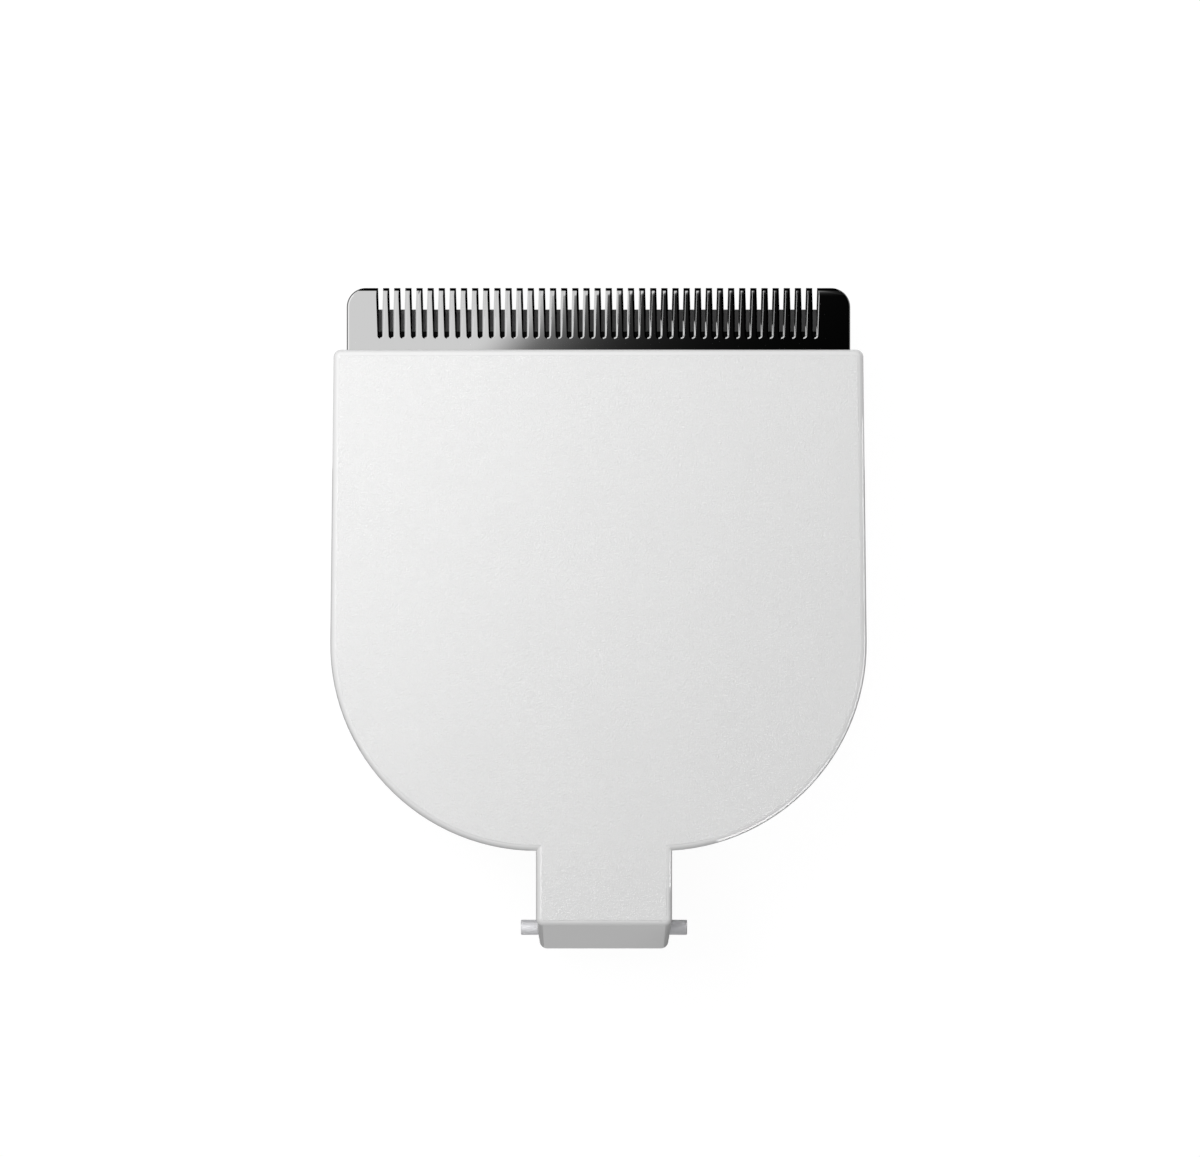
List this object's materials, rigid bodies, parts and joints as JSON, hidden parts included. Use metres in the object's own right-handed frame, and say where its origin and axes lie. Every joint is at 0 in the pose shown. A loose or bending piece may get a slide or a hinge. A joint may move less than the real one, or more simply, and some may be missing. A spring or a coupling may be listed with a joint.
{
  "type": "hair clipper blade head",
  "caption": "Clip-on blade head of a hair clipper: moulded shell with hinge tongue, fixed steel comb, and a sprung cutter that slides behind it.",
  "frame": {"origin": "middle of the overall box on the back rim, where the head lies with its front face up", "axes": "+Y from the tongue to the teeth, +Z from the back rim to the front face, +X to the right seen from the front with the teeth up"},
  "size_m": [0.0426, 0.0524, 0.009],
  "materials": {
    "housing_plastic": "satin",
    "pin_steel": "satin",
    "comb_steel": "polished",
    "cutter_steel": "satin",
    "carrier_plastic": "satin",
    "retainer_plastic": "satin",
    "spring_steel": "satin",
    "screw_steel": "satin"
  },
  "bodies": {
    "head": {"head_housing": "housing_plastic", "hinge_pin": "pin_steel", "comb_blade": "comb_steel", "blade_retainer": "retainer_plastic", "retainer_screws": "screw_steel", "pressure_spring": "spring_steel"},
    "cutter": {"cutter_blade": "cutter_steel", "cutter_carrier": "carrier_plastic"}
  },
  "joints": [
    {"name": "cutter_slide", "type": "slide", "parent": "head", "child": "cutter", "axis": [1, 0, 0], "range_m": [-0.0012, 0.0012]}
  ]
}
